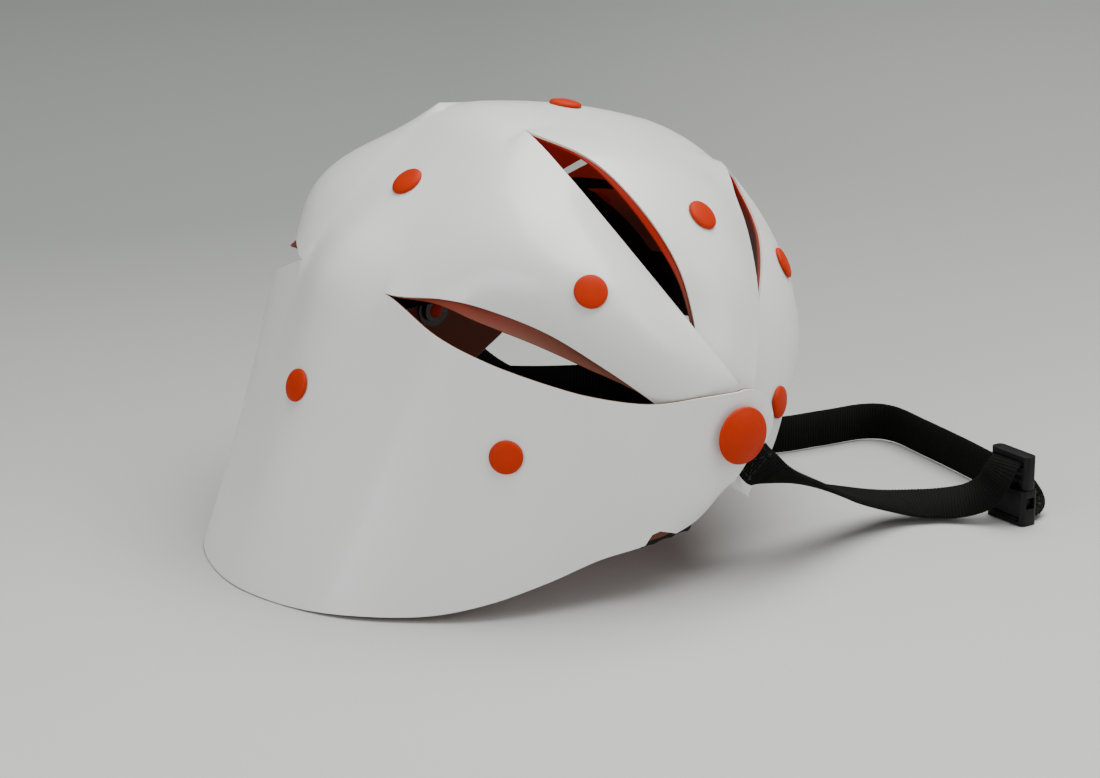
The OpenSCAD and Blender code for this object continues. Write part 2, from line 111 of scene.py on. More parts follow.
class Number:
    """A number that varies over a surface, worked on with Python's own operators."""

    def __init__(self, graph, socket):
        self.graph, self.socket = graph, socket

    def _math(self, operation, left, right):
        node = self.graph.add("ShaderNodeMath", {"operation": operation}, {0: left, 1: right})
        return Number(self.graph, node.outputs[0])

    def __add__(self, other):
        return self._math("ADD", self, other)

    def __sub__(self, other):
        return self._math("SUBTRACT", self, other)

    def __rsub__(self, other):
        return self._math("SUBTRACT", other, self)

    def __mul__(self, other):
        return self._math("MULTIPLY", self, other)

    def __truediv__(self, other):
        return self._math("DIVIDE", self, other)

    def __pow__(self, other):
        return self._math("POWER", self, other)

    __radd__ = __add__
    __rmul__ = __mul__


class Graph:
    """The nodes of one finish, or of one pattern of repeated pieces."""

    def __init__(self, tree):
        self.tree = tree

    def add(self, kind, settings=None, sockets=None):
        node = self.tree.nodes.new(kind)
        for name, setting in (settings or {}).items():
            if name == "stops":
                ramp = node.color_ramp
                while len(ramp.elements) < len(setting):
                    ramp.elements.new(1)
                for stop, (position, colour) in zip(ramp.elements, setting):
                    stop.position, stop.color = position, colour
            else:
                setattr(node, name, setting)
        for name, value in (sockets or {}).items():
            if isinstance(value, Number):
                value = value.socket
            if isinstance(value, bpy.types.NodeSocket):
                self.tree.links.new(value, node.inputs[name])
            else:
                node.inputs[name].default_value = value
        return node

    def number(self, kind, settings=None, sockets=None, output=0):
        return Number(self, self.add(kind, settings, sockets).outputs[output])


class Finish(Graph):
    """A material: constants are set on the shader, and patterns are read in the piece's own place."""

    def __init__(self, name, **constants):
        self.material = bpy.data.materials.new(name)
        self.material.use_nodes = True
        super().__init__(self.material.node_tree)
        self.tree.nodes.clear()
        fixed = {key.replace("_", " ").title().replace("Ior", "IOR"): v for key, v in constants.items()}
        self.shader = self.add("ShaderNodeBsdfPrincipled", {}, fixed)
        self.add("ShaderNodeOutputMaterial", {}, {"Surface": self.shader.outputs[0]})
        self.place = self.add("ShaderNodeTexCoord").outputs["Object"]

    def stretched(self, scale):
        return self.add("ShaderNodeMapping", {}, {"Vector": self.place, "Scale": scale}).outputs[0]

    def noise(self, scale, detail=2, place=None):
        return self.number("ShaderNodeTexNoise", {},
                           {"Vector": place or self.place, "Scale": scale, "Detail": detail})

    def cells(self, scale, place=None):
        return self.number("ShaderNodeTexVoronoi", {}, {"Vector": place or self.place, "Scale": scale})

    def along(self, x, y):
        """How far a place is along a level direction."""
        return self.number("ShaderNodeVectorMath", {"operation": "DOT_PRODUCT"},
                           {0: self.place, 1: (x, y, 0)}, output=1)

    def stepped(self, value, low, high):
        return self.number("ShaderNodeMapRange", {"interpolation_type": "SMOOTHSTEP"},
                           {0: value, 1: low, 2: high})

    def colours(self, amount, low, high):
        node = self.add("ShaderNodeMix", {"data_type": "RGBA"},
                        {0: amount, 6: (*low, 1), 7: (*high, 1)})
        return node.outputs[2]

    def feed(self, socket, value):
        if isinstance(value, Number):
            value = value.socket
        self.tree.links.new(value, self.shader.inputs[socket])

    def relief(self, height, distance, strength=1.0):
        bump = self.add("ShaderNodeBump", {},
                        {"Height": height, "Distance": distance, "Strength": strength})
        self.feed("Normal", bump.outputs[0])


# ---------------------------------------------------------------- finishes

def gloss_sheet():
    f = Finish("white_sheet", ior=1.49, coat_weight=0.25, coat_roughness=0.12)
    clouds = f.noise(16, 3)
    scuffs = f.noise(70, 6, f.stretched((1, 0.35, 1))) ** 3
    f.feed("Base Color", f.colours(clouds, (0.74, 0.745, 0.735), (0.80, 0.80, 0.79)))
    f.feed("Roughness", 0.24 + 0.12 * clouds + 0.35 * scuffs)
    f.relief(f.noise(28, 2) + 0.02 * f.noise(900, 2), 0.0006, 0.5)
    return f.material


def sheet_edge():
    f = Finish("cut_edge", ior=1.49)
    grain = f.noise(1200, 3)
    f.feed("Base Color", f.colours(grain, (0.70, 0.63, 0.50), (0.82, 0.77, 0.66)))
    f.feed("Roughness", 0.5 + 0.2 * grain)
    f.relief(grain, 0.0001, 0.4)
    return f.material


def liner_sheet():
    """Tinted liner with painted light: painted brown where light would fall on it, and painted red with a
    painted glow (emission) where light would come through the crown.
    """
    f = Finish("red_liner", ior=1.49, specular_ior_level=0.1, emission_strength=0.5)
    height = f.number("ShaderNodeSeparateXYZ", {}, {0: f.place}, 2)
    clouds = f.noise(20, 3)
    # Painted light by height: towards the crown the colour is a painted red with a painted emission glow for
    # light coming through the sheet; lower down it is a painted brown for light falling on it.
    painted_glow = f.stepped(height + 0.012 * clouds, 0.098, 0.135)
    f.feed("Base Color", f.colours(painted_glow, (0.13, 0.046, 0.031), (0.16, 0.006, 0.002)))
    f.feed("Emission Color", f.colours(painted_glow, (0.02, 0.004, 0.0025), (0.24, 0.007, 0.0012)))
    f.feed("Roughness", 0.36 + 0.12 * clouds)
    f.relief(f.noise(30, 2), 0.0005, 0.4)
    return f.material


def rivet_plastic():
    f = Finish("rivet_orange", ior=1.47, specular_ior_level=0.12)
    clouds = f.noise(130, 3)
    grain = f.noise(2600, 2)
    f.feed("Base Color", f.colours(clouds, (0.43, 0.020, 0.001), (0.51, 0.029, 0.002)))
    f.feed("Roughness", 0.40 + 0.14 * clouds)
    f.relief(grain + 2 * f.noise(180, 2), 0.00012, 0.45)
    return f.material


def black_webbing():
    f = Finish("black_webbing", specular_ior_level=0.1, sheen_weight=0.01)
    yarn = f.noise(1500, 4)
    patches = f.noise(60, 2)
    f.feed("Base Color", f.colours(0.6 * yarn + 0.4 * patches,
                                   (0.0012, 0.0012, 0.0012), (0.006, 0.0058, 0.0056)))
    f.feed("Roughness", 0.62 + 0.25 * yarn)
    f.relief(yarn + 0.6 * f.cells(2600), 0.0002, 0.7)
    return f.material


def black_thread():
    f = Finish("black_thread", specular_ior_level=0.25)
    twist = f.noise(4200, 2, f.stretched((1, 1, 0.4)))
    f.feed("Base Color", f.colours(twist, (0.004, 0.004, 0.004), (0.018, 0.0175, 0.017)))
    f.feed("Roughness", 0.5 + 0.2 * twist)
    f.relief(twist, 0.0001, 0.6)
    return f.material


def buckle_plastic():
    f = Finish("buckle_black", ior=1.48, specular_ior_level=0.2)
    clouds = f.noise(90, 3)
    grain = f.noise(3200, 2)
    f.feed("Base Color", f.colours(clouds, (0.0035, 0.0035, 0.0038), (0.008, 0.008, 0.0084)))
    f.feed("Roughness", 0.38 + 0.2 * clouds)
    f.relief(grain, 0.00012, 0.4)
    return f.material


def pad_knit():
    f = Finish("pad_knit", specular_ior_level=0.2, sheen_weight=0.03)
    loops = f.cells(1100, f.stretched((1, 1, 1.6)))
    fuzz = f.noise(2400, 3)
    f.feed("Base Color", f.colours(loops + 0.3 * fuzz,
                                   (0.0025, 0.0025, 0.0025), (0.012, 0.0118, 0.0115)))
    f.feed("Roughness", 0.75 + 0.2 * fuzz)
    f.relief(loops + 0.5 * fuzz, 0.0004, 0.8)
    return f.material


def blackened_steel():
    f = Finish("blackened_steel", metallic=1.0)
    brushed = f.noise(700, 3, f.stretched((1, 0.1, 1)))
    f.feed("Base Color", f.colours(brushed, (0.035, 0.034, 0.033), (0.07, 0.068, 0.066)))
    f.feed("Roughness", 0.25 + 0.2 * brushed)
    f.relief(brushed, 0.00005, 0.3)
    return f.material


def table_top():
    """Pale paper with painted shade: its colour is darkened towards the back and the left, where it runs
    away from the lights.
    """
    f = Finish("table_top", specular_ior_level=0.2)
    away = f.along(math.cos(VIEW_TURN), -math.sin(VIEW_TURN))
    left = f.along(math.sin(VIEW_TURN), math.cos(VIEW_TURN))
    far = f.stepped(away, -0.35, 0.6)
    # Painted shade: the colour darkens with distance back and towards the left, standing in for the falloff
    # of the lights.
    shade = 0.75 * far + 0.35 * far * f.stepped(left, -0.35, 0.3) + 0.03 * f.noise(1.5, 2)
    f.feed("Base Color", f.colours(shade, (0.565, 0.57, 0.555), (0.25, 0.26, 0.245)))
    f.feed("Roughness", 0.75 + 0.1 * shade)
    return f.material


WHITE, CREAM, RED, ORANGE = gloss_sheet(), sheet_edge(), liner_sheet(), rivet_plastic()
WEBBING, THREAD, ACETAL = black_webbing(), black_thread(), buckle_plastic()
KNIT, STEEL = pad_knit(), blackened_steel()


# ---------------------------------------------------------------- pieces

def keep_piece(name, mesh, body, material_slot, *stands_for, bends=None):
    """Puts a finished piece on its body. One that crosses a joint bends between two bodies instead."""
    piece = mesh if isinstance(mesh, bpy.types.Object) else bpy.data.objects.new(name, mesh)
    piece.name = name
    if piece.name not in bpy.context.scene.collection.objects:
        bpy.context.scene.collection.objects.link(piece)
    if bends:
        other, start, end = bends
        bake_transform(piece, body, other, start=tuple(start), end=tuple(end))
    else:
        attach(piece, body)
    if stands_for:
        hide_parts(*stands_for)
    return piece


def mesh_of(bm, name, *materials):
    mesh = bpy.data.meshes.new(name)
    bm.to_mesh(mesh)
    bm.free()
    for material in materials:
        mesh.materials.append(material)
    mesh.polygons.foreach_set("use_smooth", [True] * len(mesh.polygons))
    return mesh


def backdrop():
    """A floor that curves up into a plain wall behind the helmet."""
    bm = bmesh.new()
    back = Vector((math.cos(VIEW_TURN), -math.sin(VIEW_TURN), 0))
    side = Vector((-back.y, back.x, 0))
    profile = [(-6, 0)] + [(0.3 * k, 0) for k in range(8)]
    bend = 1.2
    profile += [(2.4 + bend * math.sin(a), bend - bend * math.cos(a))
                for a in np.linspace(0, math.pi / 2, 12)]
    profile += [(3.6, 4)]
    rows = [[bm.verts.new(back * x + side * w + Vector((0, 0, z))) for x, z in profile] for w in (-7, 7)]
    for k in range(len(profile) - 1):
        bm.faces.new((rows[0][k], rows[0][k + 1], rows[1][k + 1], rows[1][k]))
    bmesh.ops.recalc_face_normals(bm, faces=bm.faces)
    floor = bpy.data.objects.new("table", mesh_of(bm, "table", table_top()))
    bpy.context.scene.collection.objects.link(floor)


backdrop()

# ---------------------------------------------------------------- repeated pieces


class Pattern(Graph):
    """A tree of geometry nodes with named inputs, whose result becomes a plain mesh."""

    def __init__(self, name, **inputs):
        super().__init__(bpy.data.node_groups.new(name, "GeometryNodeTree"))
        kinds = {float: "NodeSocketFloat", bpy.types.Material: "NodeSocketMaterial"}
        self.tree.interface.new_socket("Geometry", in_out="INPUT", socket_type="NodeSocketGeometry")
        self.identifiers = {}
        for key, kind in inputs.items():
            socket = self.tree.interface.new_socket(key, in_out="INPUT", socket_type=kinds[kind])
            self.identifiers[key] = socket.identifier
        self.tree.interface.new_socket("Geometry", in_out="OUTPUT", socket_type="NodeSocketGeometry")
        self.given = self.add("NodeGroupInput")

    def size(self, name):
        return Number(self, self.given.outputs[name])

    def direction(self, name):
        return self.add("GeometryNodeInputNamedAttribute", {"data_type": "FLOAT_VECTOR"},
                        {"Name": name}).outputs[0]

    def repeat(self, points, shape, rotation):
        """Ends the tree: the shape on every point, made real and given the material."""
        placed = self.add("GeometryNodeInstanceOnPoints", {},
                          {"Points": points, "Instance": shape, "Rotation": rotation})
        real = self.add("GeometryNodeRealizeInstances", {}, {0: placed.outputs[0]})
        done = self.add("GeometryNodeSetMaterial", {},
                        {"Geometry": real.outputs[0], "Material": self.given.outputs["material"]})
        self.add("NodeGroupOutput", {}, {0: done.outputs[0]})

    def made(self, name, mesh, **sizes):
        base = bpy.data.objects.new(name, mesh)
        bpy.context.scene.collection.objects.link(base)
        modifier = base.modifiers.new(name, "NODES")
        modifier.node_group = self.tree
        for key, value in sizes.items():
            modifier[self.identifiers[key]] = value
        bpy.context.view_layer.update()
        evaluated = base.evaluated_get(bpy.context.evaluated_depsgraph_get())
        result = bpy.data.meshes.new_from_object(evaluated)
        base.modifiers.remove(modifier)
        bpy.data.objects.remove(base)
        result.name = name
        for attribute in [a for a in result.attributes if a.name in ("out", "across")]:
            result.attributes.remove(attribute)
        return result


def domed_heads():
    """Round heads with a soft rim and a gently domed top, one on each point and facing out."""
    g = Pattern("domed_heads", diameter=float, height=float, fullness=float, material=bpy.types.Material)
    ball = g.add("GeometryNodeMeshUVSphere", {}, {"Segments": 40, "Rings": 20, "Radius": 1.0})
    place = g.add("GeometryNodeInputPosition")
    parts = g.add("ShaderNodeSeparateXYZ", {}, {0: place.outputs[0]})
    up = Number(g, parts.outputs[2])
    top = g.number("ShaderNodeMath", {"operation": "MAXIMUM"}, {0: up, 1: 0.0}) ** g.size("fullness")
    under = g.number("ShaderNodeMath", {"operation": "MINIMUM"}, {0: up, 1: 0.0})
    rim = 0.5 * g.size("diameter")
    new_place = g.add("ShaderNodeCombineXYZ", {}, {
        0: Number(g, parts.outputs[0]) * rim, 1: Number(g, parts.outputs[1]) * rim,
        2: (top + 0.12 * under) * g.size("height")})
    shaped = g.add("GeometryNodeSetPosition", {},
                   {"Geometry": ball.outputs[0], "Position": new_place.outputs[0]})
    turned = g.add("FunctionNodeAlignRotationToVector", {"axis": "Z"}, {"Vector": g.direction("out")})
    g.repeat(g.given.outputs[0], shaped.outputs[0], turned.outputs[0])
    return g


def bars_along():
    """Rounded bars laid along a path at an even pitch: the ribs of webbing, and stitches."""
    g = Pattern("bars_along", pitch=float, length=float, depth=float, height=float,
                material=bpy.types.Material)
    path = g.add("GeometryNodeMeshToCurve", {}, {0: g.given.outputs[0]})
    even = g.add("GeometryNodeResampleCurve", {}, {0: path.outputs[0]})
    set_menu(even, "Length")
    g.tree.links.new(g.given.outputs["pitch"], even.inputs["Length"])
    rod = g.add("GeometryNodeMeshCylinder", {"fill_type": "NGON"},
                {"Vertices": 8, "Radius": 1.0, "Depth": 1.0})
    scale = g.add("ShaderNodeCombineXYZ", {}, {
        0: 0.5 * g.size("height"), 1: 0.5 * g.size("depth"), 2: g.size("length")})
    sized = g.add("GeometryNodeTransform", {}, {"Geometry": rod.outputs[0], "Scale": scale.outputs[0]})
    turned = g.add("FunctionNodeAxesToRotation", {"primary_axis": "Z", "secondary_axis": "X"},
                   {0: g.direction("across"), 1: g.direction("out")})
    g.repeat(even.outputs[0], sized.outputs[0], turned.outputs[0])
    return g


def set_menu(node, choice):
    """Picks how a curve is resampled, whether the choice is a setting or a socket."""
    if hasattr(node, "mode"):
        node.mode = choice.upper()
    else:
        node.inputs["Mode"].default_value = choice


def points_mesh(name, places, **directions):
    """Points that carry directions for a pattern, joined into a path where they have an across."""
    mesh = bpy.data.meshes.new(name)
    edges = [(k, k + 1) for k in range(len(places) - 1)] if "across" in directions else []
    mesh.from_pydata([tuple(p) for p in places], edges, [])
    for key, vectors in directions.items():
        attribute = mesh.attributes.new(key, "FLOAT_VECTOR", "POINT")
        attribute.data.foreach_set("vector", np.array(vectors, float).ravel())
    return mesh


HEADS, BARS = domed_heads(), bars_along()

# ---------------------------------------------------------------- shape of the sheets, in millimetres

NAPE_RIM = [[0, 145, -57], [28, 140, -57], [50, 129, -56], [68, 110, -55], [80, 92, -51],
            [88, 72, -45], [93, 53, -39], [97, 36, -36], [101, 16, -31], [103, 4, -20]]
SLIT_1_LOW = [[0, 104, 56], [27, 98, 50], [52, 94, 40], [70, 85, 33], [85, 70, 26],
              [94, 56, 21], [99, 35, 16], [103, 16, 16]]
SLIT_1_HIGH = [[0, 104, 56], [27, 98, 50], [48, 88, 51], [61, 79, 49], [77, 65, 42],
               [89, 51, 31], [96, 34, 17], [98.4, 20, 4]]
SLIT_2_LOW = [[0, 40, 104], [27, 38, 100], [48, 34, 87], [64, 28, 72], [79, 21, 56],
              [92, 9, 35], [98.7, -3, 17]]
SLIT_2_HIGH = [[0, 40, 104], [27, 38, 100], [48, 25, 92], [66, 17, 78], [80, 11, 60],
               [87.6, 9, 42], [94.8, 11, 22]]
SLIT_3_LOW = [[0, -50, 84], [27, -51, 76], [45, -44, 67], [60, -38, 57], [78, -28, 43],
              [89, -20, 28], [96.5, -12, 12]]
SLIT_3_HIGH = [[0, -50, 84], [27, -51, 76], [38, -52, 67], [58, -45, 55], [77, -30, 41],
               [88, -15, 27], [94, -2, 15]]
BROW_RIM = [[0, -92, 20], [28, -85, 19], [50, -71, 15], [68, -55, 8], [81, -39, -4],
            [87.5, -28, -16]]
BANDS = [[NAPE_RIM, SLIT_1_LOW], [SLIT_1_HIGH, SLIT_2_LOW], [SLIT_2_HIGH, SLIT_3_LOW],
         [SLIT_3_HIGH, BROW_RIM]]
BAND_DEPTH = [0, 4.8, 6.6, 8.4]
LOBES = [[-2.5, 3.5, 12.5, 166], [1, 1, 10.5, 240], [0, 0, 10, 270]]
BROW_END = [[11, 2], [-14, -28], [-5, -23], [-15, -30]]
BROW_TIP_IN = 3.5
SWELL = [[-2, 1.5], [-1, 14], [4, 4], [3, 2.5]]
HEAD_MIDDLE = np.array([0, 12, 10.0])
EAR_HALF = 104
NECK, SLIT, LOBE = 3, 12, 5
LOBE_START = NECK + SLIT
HALF = LOBE_START + LOBE
INNER_COVER, RIM_SHORT = 0.3, 0.012
OUTER_T, GAP_T, INNER_T = 0.8, 0.3, 0.5


def spline(a, b, c, d, u):
    """A curve from b to c that heads along a-c at its start and b-d at its end."""
    curve = (2 * a - 5 * b + 4 * c - d) * u ** 2 + (3 * b - a - 3 * c + d) * u ** 3
    return (2 * b + (c - a) * u + curve) / 2


def mirrored(p):
    return np.array(p, float) * (-1, 1, 1)


def end_point(band, edge, k):
    if band == 3:
        corner, tip = np.array(BROW_END[edge], float), np.array(BROW_END[edge + 2], float)
        y, z = corner + (tip - corner) * k
        return np.array([EAR_HALF - BAND_DEPTH[3] - BROW_TIP_IN * (1 if edge == 1 else k), y, z])
    y, z, r, way = LOBES[band]
    turn, way = math.radians(82 * k), math.radians(way)
    up, out = (-1 if edge == 0 else 1) * math.cos(turn), math.sin(turn)
    return np.array([EAR_HALF - BAND_DEPTH[band], y + r * (up * math.sin(way) + out * math.cos(way)),
                     z + r * (-up * math.cos(way) + out * math.sin(way))])


def edge_point(band, edge, step):
    points = [np.array(p, float) for p in BANDS[band][edge]]
    if step > LOBE_START:
        return end_point(band, edge, (step - LOBE_START) / LOBE)
    if step > NECK:
        points.append(end_point(band, edge, 0))
        last = len(points) - 1
        s = 1 + (step - NECK) / SLIT * (last - 1)
        i = min(int(s), last - 1)
        after = 2 * points[last] - points[last - 1] if i + 2 > last else points[i + 2]
        return spline(points[i - 1], points[i], points[i + 1], after, s - i)
    other = band + (-1 if edge == 0 else 1)
    ahead = points[2]
    if 0 <= other <= 3:
        ahead = (ahead + np.array(BANDS[other][1 - edge][2], float)) / 2
    return spline(mirrored(points[1]), points[0], points[1], ahead, step / NECK)


def swell(band, step):
    t = step / LOBE_START
    if t > 1:
        return 0
    return SWELL[band][0] * math.cos(math.pi * t / 2) ** 2 + SWELL[band][1] * math.sin(math.pi * t) ** 2


# Each lower rear corner: a small round relief notch in the rim, then a tab that bends inwards
NOTCH_AT, NOTCH_HALF, NOTCH_DEEP = 11.35, 0.3, 0.07
TAB_FROM, TAB_TO, TAB_IN, TAB_DEEP = 11.7, 14.0, 2.5, 0.16


def band_point(band, step, across, cut=False):
    lower, upper = edge_point(band, 0, step), edge_point(band, 1, step)
    if cut and band == 0:
        off = abs(step - NOTCH_AT) / NOTCH_HALF
        notch = NOTCH_DEEP * math.sqrt(1 - off * off) if off < 1 else 0
        across = notch + (1 - notch) * across
    flat = lower + (upper - lower) * across
    out = flat - HEAD_MIDDLE
    place = flat + out / np.linalg.norm(out) * swell(band, step) * math.sin(math.pi * max(across, 0))
    if band == 0 and TAB_FROM < step < TAB_TO and across < TAB_DEEP:
        bend = math.sin(math.pi * (step - TAB_FROM) / (TAB_TO - TAB_FROM)) ** 0.5
        place = place - np.array([TAB_IN * bend * (1 - across / TAB_DEEP) ** 2, 0, 0])
    return place


def reach(band, step):
    """How far the liner goes past its band's rear edge, as a share of the band's width."""
    along = (step - NECK) / SLIT
    if band == 0 or not 0 < along < 0.8:
        return 0
    lower = edge_point(band, 0, step)
    gap = np.linalg.norm(edge_point(band - 1, 1, step) - lower)
    width = np.linalg.norm(edge_point(band, 1, step) - lower)
    return INNER_COVER * math.sin(math.radians(225 * along)) * gap / width


def band_grid(band, per_step, rows, liner):
    """Points of one band from ear to ear."""
    half = []
    for k in range(HALF * per_step + 1):
        step = k / per_step
        first, last = 0, 1
        if liner:
            first = RIM_SHORT if band == 0 else -reach(band, step)
            last = 1 - RIM_SHORT if band == 3 else 1
        shares = np.linspace(0, 1, rows + 1) ** (1.25 if band == 0 else 1)
        half.append([band_point(band, step, first + (last - first) * a, not liner) for a in shares])
    half = np.array(half)
    return np.concatenate([half[:0:-1] * (-1, 1, 1), half])


def sheet_surface(per_step, liner):
    """The whole sheet as one skin: four bands that share their necks, with the creases eased."""
    bm = bmesh.new()
    for band, rows in enumerate((18, 14, 12, 12)):
        grid = band_grid(band, per_step, rows, liner) * MM + (0, 0, EAR_HEIGHT)
        verts = [[bm.verts.new(p) for p in line] for line in grid]
        for a, b in zip(verts, verts[1:]):
            for k in range(rows):
                bm.faces.new((a[k], a[k + 1], b[k + 1], b[k]))
    bmesh.ops.remove_doubles(bm, verts=bm.verts, dist=1e-5)
    bmesh.ops.dissolve_degenerate(bm, edges=bm.edges, dist=1e-6)
    necks = np.array([edge_point(band, 1, s / 4) * MM for band in range(3) for s in range(NECK * 4 + 1)])
    eased = []
    for v in bm.verts:
        own = np.array([abs(v.co.x), v.co.y, v.co.z - EAR_HEIGHT])
        if not v.is_boundary and np.linalg.norm(necks - own, axis=1).min() < 7.5 * MM:
            eased.append(v)
    for _ in range(8):
        bmesh.ops.smooth_vert(bm, verts=eased, factor=0.5,
                              use_axis_x=True, use_axis_y=True, use_axis_z=True)
    bm.normal_update()
    top = max(bm.faces, key=lambda face: face.calc_center_median().z)
    if top.normal.z < 0:
        bmesh.ops.reverse_faces(bm, faces=bm.faces)
        bm.normal_update()
    return bm


def walled(name, mesh, thickness):
    """Gives a skin its thickness on the inner side, with the cut edge in the second material."""
    sheet = bpy.data.objects.new(name, mesh)
    bpy.context.scene.collection.objects.link(sheet)
    wall = sheet.modifiers.new("wall", "SOLIDIFY")
    wall.thickness, wall.offset, wall.use_even_offset = thickness, -1, False
    wall.material_offset_rim = 1
    bpy.context.view_layer.update()
    solid = bpy.data.meshes.new_from_object(sheet.evaluated_get(bpy.context.evaluated_depsgraph_get()))
    bpy.data.objects.remove(sheet)
    solid.name = name
    return solid


def make_sheets():
    skin = mesh_of(sheet_surface(5, False), "white_shell", WHITE, CREAM)
    shell = walled("white_shell", skin, OUTER_T * MM)
    shell.set_sharp_from_angle(angle=math.radians(50))
    keep_piece("white_shell", shell, "shell", "outer_sheet", "outer_sheet")
    bm = sheet_surface(4, True)
    depth = (OUTER_T + GAP_T) * MM
    moved = [v.co - v.normal * depth for v in bm.verts]
    for v, place in zip(bm.verts, moved):
        v.co = place
    liner = walled("red_liner", mesh_of(bm, "red_liner", RED, RED), INNER_T * MM)
    liner.set_sharp_from_angle(angle=math.radians(50))
    keep_piece("red_liner", liner, "shell", "inner_sheet", "inner_sheet")


make_sheets()

# ---------------------------------------------------------------- rivets

HEAD_D, HEAD_H, HEAD_LIFT = 12, 2.0, 0.1
BACK_D, BACK_H, BACK_OFF = 11, 1.5, 0.6
RIVETS = [["nape", 0, 0, 0.62], ["nape_side", 0, 7.2, 0.64],
          ["rear_crown", 1, 0, 0.52], ["rear_side", 1, 8.2, 0.43],
          ["top_crown", 2, 0, 0.43], ["top_side", 2, 7.25, 0.44],
          ["brow", 3, 0, 0.5], ["brow_side", 3, 6.45, 0.37], ["temple", 3, 10.7, 0.79]]


def make_rivets():
    names, heads, backs, outs = [], [], [], []
    for name, band, step, across in RIVETS:
        place = band_point(band, step, across)
        ahead = band_point(band, step + 0.1, across)
        behind = mirrored(ahead) if step == 0 else band_point(band, step - 0.1, across)
        over = band_point(band, step, across + 0.02) - band_point(band, step, across - 0.02)
        out = np.cross(over, ahead - behind)
        out = out / np.linalg.norm(out)
        for side, flip in ((("", 1),) if step == 0 else (("_right", -1), ("_left", 1))):
            turned = out * (flip, 1, 1)
            middle = place * (flip, 1, 1)
            names.append(f"rivet_{name}{side}")
            heads.append((middle + turned * HEAD_LIFT) * MM + (0, 0, EAR_HEIGHT))
            behind_liner = middle - turned * (OUTER_T + GAP_T + INNER_T + BACK_OFF)
            backs.append(behind_liner * MM + (0, 0, EAR_HEIGHT))
            outs.append(turned)
    made = HEADS.made("rivet_heads", points_mesh("rivet_heads", heads, out=outs),
                      diameter=HEAD_D * MM, height=HEAD_H * MM, fullness=0.62, material=ORANGE)
    keep_piece("rivet_heads", made, "shell", "rivet_plastic", *names)
    made = HEADS.made("rivet_backs", points_mesh("rivet_backs", backs, out=[-o for o in outs]),
                      diameter=BACK_D * MM, height=BACK_H * MM, fullness=0.3, material=ORANGE)
    keep_piece("rivet_backs", made, "shell", "rivet_plastic", *[n + "_back" for n in names])


make_rivets()


def turned_part(profile, place, outward, segments=72):
    """A closed turned part: (radius, height) pairs about the outward axis at a place."""
    bm = bmesh.new()
    ring = []
    for r, h in profile:
        if r == 0:
            ring.append([bm.verts.new((0, 0, h))] * segments)
        else:
            ring.append([bm.verts.new((r * math.cos(a), r * math.sin(a), h))
                         for a in np.linspace(0, 2 * math.pi, segments, endpoint=False)])
    for a, b in zip(ring, ring[1:]):
        for k in range(segments):
            corners = [a[k], a[(k + 1) % segments], b[(k + 1) % segments], b[k]]
            corners = list(dict.fromkeys(corners))
            if len(corners) > 2:
                bm.faces.new(corners)
    bmesh.ops.recalc_face_normals(bm, faces=bm.faces)
    facing = Vector(outward).to_track_quat("Z", "Y").to_matrix().to_4x4()
    bmesh.ops.transform(bm, matrix=Matrix.Translation(place) @ facing, verts=bm.verts)
    return bm


def make_ear_cap(side, way):
    """Domed cap with a soft rim and a faint ring where it was moulded, and its post."""
    r, h, base = 10.5 * MM, 4 * MM, 0.95 * MM
    low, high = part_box(f"ear_cap_{side}")
    post_end = -((high.x - low.x) - base - h)
    profile = [(0, post_end), (2.5 * MM, post_end), (2.95 * MM, post_end + 0.45 * MM),
               (2.95 * MM, base), (r - 0.7 * MM, base)]
    rim = 0.9 * MM
    for k in range(13):
        a = math.pi / 2 * k / 12 - math.pi / 8
        profile.append((r - rim + rim * math.cos(a),
                        base + 0.35 * MM + rim * (math.sin(a) + 0.38)))
    rim_r, rim_h = profile[-1]
    for k in range(1, 22):
        share = k / 22
        radius = rim_r * (1 - share)
        dome = rim_h + (base + h - rim_h) * (1 - (1 - share) ** 2.1)
        groove = 0.05 * MM * math.exp(-((radius / MM - 7.2) / 0.35) ** 2)
        profile.append((radius, dome - groove))
    profile.append((0, base + h))
    bm = turned_part(profile, (way * EAR_HALF * MM, 0, EAR_HEIGHT), (way, 0, 0))
    keep_piece(f"ear_disc_{side}", mesh_of(bm, f"ear_disc_{side}", ORANGE), f"cap_{side}",
               "rivet_plastic", f"ear_cap_{side}")


make_ear_cap("right", -1)
make_ear_cap("left", 1)

# ---------------------------------------------------------------- webbing

